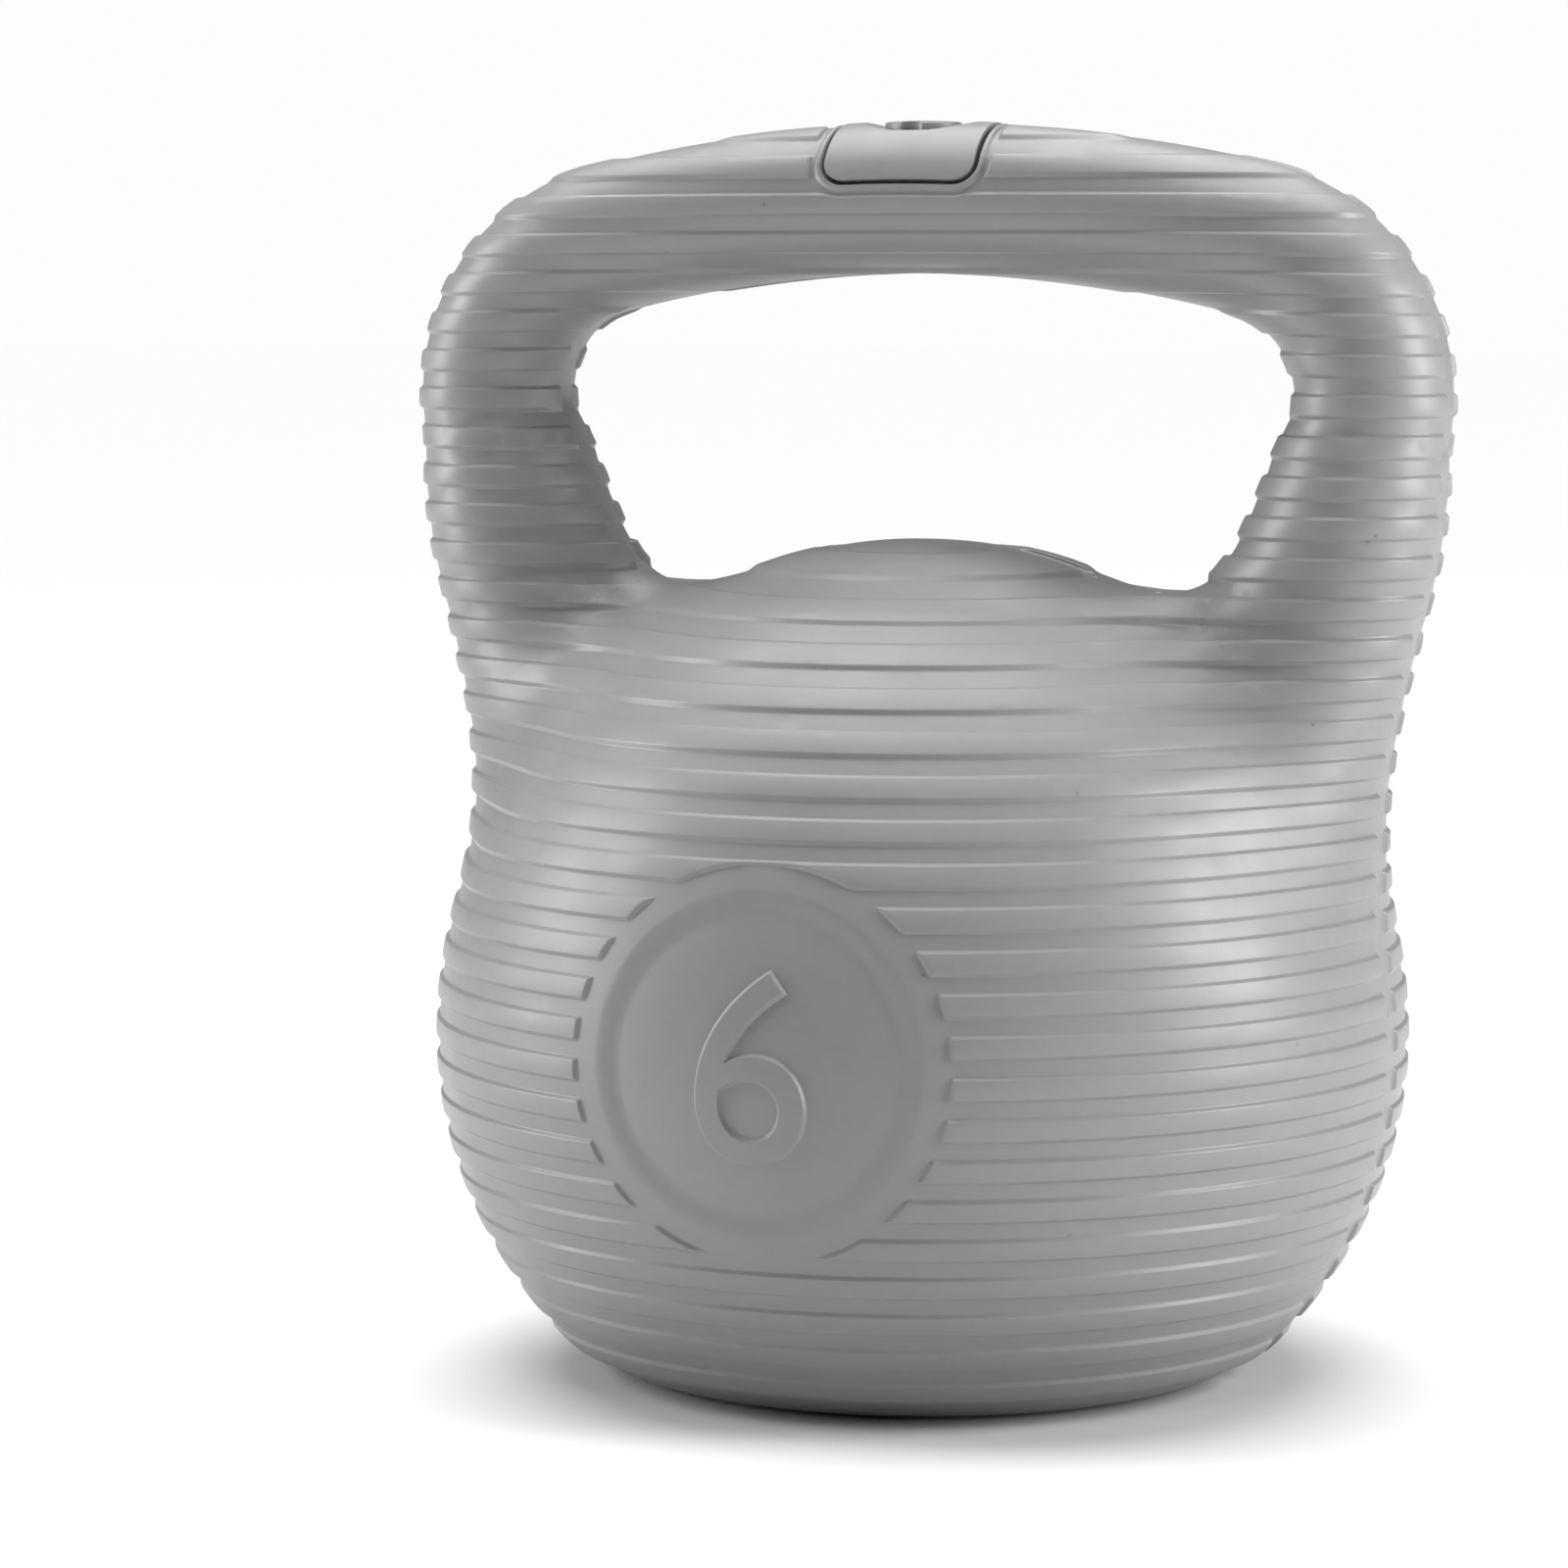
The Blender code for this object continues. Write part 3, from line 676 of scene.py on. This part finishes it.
def saddle(name, half_width, half_angle, corner, outer_depth, inner_depth):
    """A curved plate that wraps over the bar, between two depths below its crest."""
    side = []
    corner_steps = 8
    for i in range(corner_steps + 1):
        turn = math.pi / 2 * i / corner_steps
        up_side = corner * (1.0 - math.cos(turn))
        width = half_width - corner + corner * math.sin(turn)
        side.append((half_angle - up_side / SECTION_REACH, width))
    straight = side[-1][0]
    across = [
        (straight * (1.0 - 2.0 * i / SADDLE_ROWS), half_width) for i in range(1, SADDLE_ROWS)
    ]
    stations = side + across + [(-angle, width) for angle, width in reversed(side)]
    bm = bmesh.new()
    sheets = []
    for depth in (outer_depth, inner_depth):
        sheet = []
        for angle, width in stations:
            line = []
            for i in range(SADDLE_COLUMNS + 1):
                x = width * (2.0 * i / SADDLE_COLUMNS - 1.0)
                sag = BAR_ARCH_RADIUS - math.sqrt(BAR_ARCH_RADIUS**2 - x * x)
                half = BAR_HALF_HEIGHT - depth
                y = HANDLE_DEPTH_RATIO * half * math.sin(angle)
                line.append(bm.verts.new((x, y, half * math.cos(angle) - BAR_HALF_HEIGHT - sag)))
            sheet.append(line)
        sheets.append(sheet)
    for sheet in sheets:
        for first, second in zip(sheet[:-1], sheet[1:]):
            for i in range(SADDLE_COLUMNS):
                bm.faces.new((first[i], first[i + 1], second[i + 1], second[i]))
    top, bottom = sheets
    for upper, lower in ((top[0], bottom[0]), (top[-1], bottom[-1])):
        for i in range(SADDLE_COLUMNS):
            bm.faces.new((upper[i], upper[i + 1], lower[i + 1], lower[i]))
    for end in (0, -1):
        for j in range(len(stations) - 1):
            bm.faces.new((top[j][end], top[j + 1][end], bottom[j + 1][end], bottom[j][end]))
    bmesh.ops.triangulate(bm, faces=bm.faces[:])
    return from_bmesh(name, bm, CREST_Z)


def rows_about(edge, half_width, count=4):
    """The levels that draw a smooth step of this half width about an edge."""
    return [edge + half_width * (2.0 * i / (count - 1) - 1.0) for i in range(count)]


def make_shell():
    rough = rough_body()
    points, triangles = even_net(rough, SKIN_SPACING, 0.0)
    points, triangles = refined(points, triangles, nearest_mark, DISH_OUTER, MARK_SPACING)
    numeral_reach = NUMERAL_EDGE * 2
    points, triangles = refined(points, triangles, numeral_field, numeral_reach, NUMERAL_SPACING)
    points, triangles = refined(points, triangles, cover_distance, RIB_END, COVER_SPACING)
    points = onto_level(points, 0.0, 2)
    levels = []
    for i in range(RIB_COUNT):
        centre = RIB_FIRST_CENTRE + i * RIB_PITCH
        levels += rows_about(centre - RIB_HALF, FLANK) + rows_about(centre + RIB_HALF, FLANK)
    points, triangles = split_at(points, triangles, lambda p: p[:, 2].copy(), levels, LEVEL_SNAP)
    rings = rows_about(MARK_RADIUS, FLANK)
    rings += rows_about((DISH_INNER + DISH_OUTER) / 2, (DISH_OUTER - DISH_INNER) / 2, 6)
    points, triangles = split_at(points, triangles, nearest_mark, rings)
    strip = rows_about(PARTING_STRIP, FLANK) + [SEAM_HALF]
    points, triangles = split_at(points, triangles, lambda p: np.abs(p[:, 1]), strip)
    points, triangles = split_at(points, triangles, lambda p: p[:, 1].copy(), [0.0])
    edge = [COVER_EDGE_GAP + LIP_ROUND * s for s in (0.0, 0.15, 0.4, 0.7, 1.0)]
    border = edge + rows_about(BORDER - FLANK, FLANK, 4) + rows_about(RIB_END, FLANK)
    points, triangles = split_at(points, triangles, cover_distance, border)
    outline = [-NUMERAL_EDGE, -NUMERAL_EDGE * 0.66, -NUMERAL_EDGE * 0.33, 0.0]
    points, triangles = split_at(points, triangles, numeral_field, outline)
    points = onto_level(points, 0.0, 1)
    points = onto_level(points, skin_depth(points), 2)
    low, high = CAD_BOX
    points = np.clip(points, np.array(low) + MERGE, np.array(high) - MERGE)
    shell = from_net("shell_skin", points, triangles)
    cavity = from_net("cavity", *even_net(rough, 2 * SKIN_SPACING, WALL + GROOVE))
    bpy.data.objects.remove(rough)
    margin = COVER_EDGE_GAP / BAR_HALF_HEIGHT
    wall = COVER_EDGE_GAP + WALL
    recess_wall = saddle(
        "recess_wall", COVER_HALF_WIDTH + wall, COVER_HALF_ANGLE + wall / BAR_HALF_HEIGHT,
        COVER_CORNER + wall, -CUT_PAST / 2, RECESS_DEPTH + WALL,
    )
    carve(cavity, "DIFFERENCE", recess_wall)
    land_wall = cylinder("land_wall", POCKET_RADIUS + WALL, -WALL / 4, -LAND_DEPTH - WALL)
    carve(cavity, "DIFFERENCE", land_wall)
    carve(shell, "DIFFERENCE", cavity)
    recess = saddle(
        "recess", COVER_HALF_WIDTH + COVER_EDGE_GAP, COVER_HALF_ANGLE + margin,
        COVER_CORNER + COVER_EDGE_GAP, -CUT_PAST, RECESS_DEPTH,
    )
    carve(shell, "DIFFERENCE", recess)
    carve(shell, "DIFFERENCE", cylinder("land_pocket", POCKET_RADIUS, CUT_PAST, -LAND_DEPTH))
    neck = cylinder("neck", SPIGOT_RADIUS + GAP, CUT_PAST, -LAND_DEPTH - 2.0 * WALL)
    carve(shell, "DIFFERENCE", neck)
    smooth(shell, 50.0)
    shade_as_moulded(shell)
    return shell


def numeral_field(p):
    """The numeral's distance near the front mark, and a large value everywhere else."""
    out = np.full(len(p), FAR_AWAY)
    near = (p[:, 1] < -MARK_FACE_Y) & (mark_radius(p, -1.0) < DISH_INNER)
    out[near] = numeral_distance(p[near])
    return out


# ---------------------------------------------------------------- filler cover and plug


def thread_ridge(name, base_radius, tip_radius, first_z):
    """One helical ridge, right-handed, sunk a little into the wall that it stands on."""
    sunk = math.copysign(THREAD_SUNK, tip_radius - base_radius)
    section = [
        (base_radius - sunk, -THREAD_ROOT_WIDTH / 2),
        (tip_radius, -THREAD_CREST_WIDTH / 2),
        (tip_radius, THREAD_CREST_WIDTH / 2),
        (base_radius - sunk, THREAD_ROOT_WIDTH / 2),
    ]
    bm = bmesh.new()
    rings = []
    for i in range(math.floor(THREAD_RUN / THREAD_PITCH * THREAD_STEPS) + 1):
        turn = 2.0 * math.pi * i / THREAD_STEPS
        rise = first_z + THREAD_PITCH * i / THREAD_STEPS
        spoke = (math.cos(turn), math.sin(turn))
        rings.append([bm.verts.new((r * spoke[0], r * spoke[1], rise + z)) for r, z in section])
    for first, second in zip(rings[:-1], rings[1:]):
        for k in range(len(section)):
            bm.faces.new((first[k - 1], first[k], second[k], second[k - 1]))
    bm.faces.new(rings[0])
    bm.faces.new(rings[-1])
    bmesh.ops.triangulate(bm, faces=bm.faces[:])
    return from_bmesh(name, bm, CREST_Z)


def rounded_saddle():
    """The cover's plate with its outer rim rounded over."""
    plate = saddle(
        "cover_skin", COVER_HALF_WIDTH, COVER_HALF_ANGLE, COVER_CORNER, 0.0, COVER_THICKNESS,
    )
    bm = applied(
        plate, "BEVEL", width=COVER_RIM_ROUND, segments=4,
        limit_method="ANGLE", angle_limit=math.radians(50.0),
    )
    bpy.data.objects.remove(plate)
    bmesh.ops.triangulate(bm, faces=bm.faces[:])
    return from_bmesh("cover_skin", bm)


def make_cover():
    cover = rounded_saddle()
    block = cylinder("boss_block", BOSS_RADIUS, COVER_THICKNESS, -BOSS_DEPTH)
    limit = saddle(
        "boss_limit", COVER_HALF_WIDTH, COVER_HALF_ANGLE, COVER_CORNER, GAP, BAR_HALF_HEIGHT - GAP,
    )
    carve(block, "INTERSECT", limit)
    carve(cover, "UNION", block)
    spigot = cylinder("spigot", SPIGOT_RADIUS, -SEAT_DEPTH, -SPIGOT_END_DEPTH)
    carve(cover, "UNION", spigot)
    seat_radius = HEAD_RADIUS + GAP
    slope = []
    for share in np.linspace(0.0, 1.0, 17):
        radius = DISH_RIM_RADIUS + (seat_radius + 2 * GAP - DISH_RIM_RADIUS) * share
        slope.append((radius, -DISH_DEPTH * float(eased(share))))
    bore = turned("cover_bore", [
        (0.0, CUT_PAST),
        (DISH_RIM_RADIUS + CUT_PAST, CUT_PAST),
        *slope,
        (seat_radius, -DISH_DEPTH - GAP),
        (seat_radius, -SEAT_DEPTH),
        (BORE_RADIUS, -SEAT_DEPTH),
        (BORE_RADIUS, -SPIGOT_END_DEPTH - CUT_PAST),
        (0.0, -SPIGOT_END_DEPTH - CUT_PAST),
    ])
    carve(cover, "DIFFERENCE", bore)
    first_z = -SPIGOT_END_DEPTH + THREAD_ROOT_WIDTH
    thread = thread_ridge("nut_thread", BORE_RADIUS, BORE_RADIUS - THREAD_DEPTH, first_z)
    carve(cover, "UNION", thread)
    smooth(cover, 40.0)
    return cover


def make_plug():
    top = -HEAD_CROWN
    shares = np.linspace(0.0, 0.85, 8)
    crown = [(HEAD_RADIUS * share, top + HEAD_CROWN * (1.0 - share**2)) for share in shares]
    hollow = SHANK_RADIUS - PLUG_WALL
    edge = rounded([
        (HEAD_RADIUS * 0.86, top, 0.0),
        (HEAD_RADIUS, top, HEAD_ROUND),
        (HEAD_RADIUS, -HEAD_HEIGHT, 0.0),
    ])
    plug = turned("plug_head", [
        *crown,
        *edge[1:],
        (SHANK_RADIUS, -HEAD_HEIGHT),
        (SHANK_RADIUS, -SHANK_END_DEPTH),
        (hollow, -SHANK_END_DEPTH),
        (hollow, -HEAD_HEIGHT),
        (0.0, -HEAD_HEIGHT),
    ])
    for i in range(SCALLOPS):
        turn = 2.0 * math.pi * i / SCALLOPS - math.pi / 2
        away = HEAD_RADIUS + SCALLOP_RADIUS - SCALLOP_DEPTH
        centre = (away * math.cos(turn), away * math.sin(turn))
        scallop = cylinder("scallop", SCALLOP_RADIUS, HEAD_ROUND, -DISH_DEPTH, centre)
        carve(plug, "DIFFERENCE", scallop)
    first_z = -SPIGOT_END_DEPTH + THREAD_ROOT_WIDTH + THREAD_PITCH / 2
    thread = thread_ridge("plug_thread", SHANK_RADIUS, SHANK_RADIUS + THREAD_DEPTH, first_z)
    carve(plug, "UNION", thread)
    smooth(plug, 35.0)
    return plug


# ---------------------------------------------------------------- materials


def new_material(name):
    material = bpy.data.materials.new(name)
    material.use_nodes = True
    tree = material.node_tree
    return material, tree.nodes, tree.links, tree.nodes["Principled BSDF"]


def noise(nodes, links, coordinate, scale, detail=3.0, roughness=0.5):
    node = nodes.new("ShaderNodeTexNoise")
    node.inputs["Scale"].default_value = scale
    node.inputs["Detail"].default_value = detail
    node.inputs["Roughness"].default_value = roughness
    links.new(coordinate, node.inputs["Vector"])
    return node.outputs["Fac"]


def remap(nodes, links, value, low, high, to_low, to_high):
    node = nodes.new("ShaderNodeMapRange")
    node.inputs["From Min"].default_value = low
    node.inputs["From Max"].default_value = high
    node.inputs["To Min"].default_value = to_low
    node.inputs["To Max"].default_value = to_high
    links.new(value, node.inputs["Value"])
    return node.outputs["Result"]


def math_node(nodes, links, operation, a, b):
    node = nodes.new("ShaderNodeMath")
    node.operation = operation
    for socket, value in zip(node.inputs, (a, b)):
        if isinstance(value, float):
            socket.default_value = value
        else:
            links.new(value, socket)
    return node.outputs[0]


def weighted_sum(nodes, links, a, weight_a, b, weight_b):
    first = math_node(nodes, links, "MULTIPLY", a, weight_a)
    second = math_node(nodes, links, "MULTIPLY", b, weight_b)
    return math_node(nodes, links, "ADD", first, second)


def colour_mix(nodes, links, share, dark, light):
    ramp = nodes.new("ShaderNodeValToRGB")
    ramp.color_ramp.elements[0].color = (*dark, 1.0)
    ramp.color_ramp.elements[1].color = (*light, 1.0)
    links.new(share, ramp.inputs["Fac"])
    return ramp.outputs["Color"]


def add_bump(nodes, links, height, strength, distance, shader):
    bump = nodes.new("ShaderNodeBump")
    bump.inputs["Strength"].default_value = strength
    bump.inputs["Distance"].default_value = distance
    links.new(height, bump.inputs["Height"])
    links.new(bump.outputs["Normal"], shader.inputs["Normal"])


def moulded_plastic(name, tone, roughness):
    """Satin moulded polyethylene: slow tone drift, fine mould grain, and a few tiny dark specks."""
    material, nodes, links, shader = new_material(name)
    place = nodes.new("ShaderNodeTexCoord").outputs["Object"]
    drift = noise(nodes, links, place, 14.0, 4.0)
    mottle = noise(nodes, links, place, 420.0, 3.0)
    share = weighted_sum(nodes, links, drift, 0.7, mottle, 0.3)
    dark = (tone * 0.94, tone * 0.94, tone * 0.945)
    light = (tone * 1.06, tone * 1.06, tone * 1.055)
    base = colour_mix(nodes, links, remap(nodes, links, share, 0.3, 0.7, 0.0, 1.0), dark, light)
    cells = nodes.new("ShaderNodeTexVoronoi")
    cells.inputs["Scale"].default_value = 160.0
    links.new(place, cells.inputs["Vector"])
    rare = remap(nodes, links, noise(nodes, links, place, 55.0, 1.0), 0.66, 0.70, 0.0, 1.0)
    dot = remap(nodes, links, cells.outputs["Distance"], 0.05, 0.09, 1.0, 0.0)
    speck = math_node(nodes, links, "MULTIPLY", dot, rare)
    mix = nodes.new("ShaderNodeMix")
    mix.data_type = "RGBA"
    mix.inputs["B"].default_value = (tone * 0.55, tone * 0.55, tone * 0.55, 1.0)
    links.new(base, mix.inputs["A"])
    links.new(speck, mix.inputs["Factor"])
    links.new(mix.outputs["Result"], shader.inputs["Base Color"])
    wear = noise(nodes, links, place, 60.0, 5.0, 0.6)
    gloss = remap(nodes, links, wear, 0.3, 0.7, roughness - 0.05, roughness + 0.07)
    links.new(gloss, shader.inputs["Roughness"])
    shader.inputs["Specular IOR Level"].default_value = 0.5
    shader.inputs["IOR"].default_value = 1.5
    fine = noise(nodes, links, place, 2600.0, 2.0)
    broad = noise(nodes, links, place, 300.0, 2.0)
    height = weighted_sum(nodes, links, fine, 0.35, broad, 1.0)
    add_bump(nodes, links, height, 0.25, 0.00006, shader)
    return material


def seal_rubber():
    material, nodes, links, shader = new_material("seal_rubber_look")
    place = nodes.new("ShaderNodeTexCoord").outputs["Object"]
    cloud = noise(nodes, links, place, 900.0, 4.0)
    base = colour_mix(nodes, links, cloud, (0.022, 0.022, 0.023), (0.040, 0.040, 0.042))
    links.new(base, shader.inputs["Base Color"])
    links.new(remap(nodes, links, cloud, 0.3, 0.7, 0.62, 0.80), shader.inputs["Roughness"])
    add_bump(nodes, links, noise(nodes, links, place, 2400.0, 2.0), 0.3, 0.00005, shader)
    return material


def settled_sand():
    material, nodes, links, shader = new_material("settled_sand_look")
    place = nodes.new("ShaderNodeTexCoord").outputs["Object"]
    grains = nodes.new("ShaderNodeTexVoronoi")
    grains.inputs["Scale"].default_value = 900.0
    links.new(place, grains.inputs["Vector"])
    cloud = noise(nodes, links, place, 120.0, 5.0)
    share = weighted_sum(nodes, links, cloud, 0.5, grains.outputs["Color"], 0.5)
    base = colour_mix(nodes, links, share, (0.24, 0.21, 0.17), (0.52, 0.47, 0.39))
    links.new(base, shader.inputs["Base Color"])
    links.new(remap(nodes, links, cloud, 0.3, 0.7, 0.85, 1.0), shader.inputs["Roughness"])
    add_bump(nodes, links, grains.outputs["Distance"], 0.8, 0.0004, shader)
    return material


def wear_look(obj, material):
    obj.data.materials.clear()
    obj.data.materials.append(material)


def carry_over(node, material):
    """Gives a CAD node that stays shown its finished material."""
    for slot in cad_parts[node].material_slots:
        slot.material = material


# ---------------------------------------------------------------- studio


CAMERA_RIGHT_TURN = math.radians(19.5)
CAMERA_DISTANCE = 1.1232
CAMERA_HEIGHT = 0.2283
CAMERA_DOWN = math.radians(5.49)
CAMERA_YAW_LEFT = math.radians(1.46)
LENS = 125.2
SENSOR_WIDTH = 36.0
ROOM_LIGHT = 0.04
PAPER_WHITE = 0.98
FLOOR_SIZE = 12.0
FLOOR_TONE = 0.70
CEILING_STRENGTH = 4.4
CEILING_SPREAD = math.radians(62.0)
CEILING_TILT = (math.radians(-12.0), math.radians(-8.0), 0.0)
LIT_POINT = (0.0, 0.0, 0.13)
LIGHT_BOXES = (
    ("left_box", (-1.15, -0.30, 0.50), (0.45, 0.9), 13.0),
    ("right_box", (1.15, 0.10, 0.50), (0.45, 0.9), 18.0),
    ("front_box", (0.25, -1.0, 1.15), (0.5, 0.3), 2.0),
)


def make_camera():
    data = bpy.data.cameras.new("camera")
    data.lens = LENS
    data.sensor_width = SENSOR_WIDTH
    data.clip_start = 0.01
    data.clip_end = 50.0
    camera = add_object("camera", data)
    x = CAMERA_DISTANCE * math.sin(CAMERA_RIGHT_TURN)
    y = -CAMERA_DISTANCE * math.cos(CAMERA_RIGHT_TURN)
    camera.location = (x, y, CAMERA_HEIGHT)
    camera.rotation_euler = (math.pi / 2 - CAMERA_DOWN, 0.0, CAMERA_RIGHT_TURN + CAMERA_YAW_LEFT)
    bpy.context.scene.camera = camera


def area_light(name, place, size, power):
    """A soft box at this place that faces the object."""
    data = bpy.data.lights.new(name, "AREA")
    data.shape = "RECTANGLE"
    data.size, data.size_y = size
    data.energy = power
    light = add_object(name, data)
    light.location = place
    direction = np.array(LIT_POINT) - np.array(place)
    heading = math.atan2(direction[0], direction[1])
    fall = math.atan2(-direction[2], math.hypot(direction[0], direction[1]))
    light.rotation_euler = (math.pi / 2 - fall, 0.0, -heading)


def make_studio():
    bm = bmesh.new()
    bmesh.ops.create_grid(bm, x_segments=1, y_segments=1, size=FLOOR_SIZE)
    floor = from_bmesh("floor", bm)
    material, nodes, links, shader = new_material("floor_look")
    shader.inputs["Base Color"].default_value = (FLOOR_TONE, FLOOR_TONE, FLOOR_TONE, 1.0)
    shader.inputs["Roughness"].default_value = 1.0
    shader.inputs["Specular IOR Level"].default_value = 0.0
    wear_look(floor, material)
    world = bpy.data.worlds.new("studio")
    bpy.context.scene.world = world
    world.use_nodes = True
    nodes, links = world.node_tree.nodes, world.node_tree.links
    seen = nodes.new("ShaderNodeLightPath").outputs["Is Camera Ray"]
    strength = remap(nodes, links, seen, 0.0, 1.0, ROOM_LIGHT, PAPER_WHITE)
    links.new(strength, nodes["Background"].inputs["Strength"])
    nodes["Background"].inputs["Color"].default_value = (1.0, 1.0, 1.0, 1.0)
    ceiling = bpy.data.lights.new("ceiling", "SUN")
    ceiling.energy = CEILING_STRENGTH
    ceiling.angle = CEILING_SPREAD
    add_object("ceiling", ceiling).rotation_euler = CEILING_TILT
    for name, place, size, power in LIGHT_BOXES:
        area_light(name, place, size, power)
    bpy.context.scene.view_settings.view_transform = "Standard"


# ---------------------------------------------------------------- the whole


def main():
    plastic = moulded_plastic("shell_plastic_look", 0.215, 0.41)
    cover_plastic = moulded_plastic("cover_plastic_look", 0.210, 0.40)
    plug_plastic = moulded_plastic("plug_plastic_look", 0.200, 0.40)
    shell = make_shell()
    cover = make_cover()
    plug = make_plug()
    rows = (
        (shell, "bell", "shell", "shell_plastic", plastic),
        (cover, "cover", "filler_cover", "cover_plastic", cover_plastic),
        (plug, "plug", "filler_plug", "plug_plastic", plug_plastic),
    )
    for piece, body, node, slot, look in rows:
        wear_look(piece, look)
        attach(piece, body)
        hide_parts(node)
    carry_over("ballast", settled_sand())
    rubber = seal_rubber()
    carry_over("cover_gasket", rubber)
    carry_over("plug_seal", rubber)
    make_studio()
    make_camera()


main()
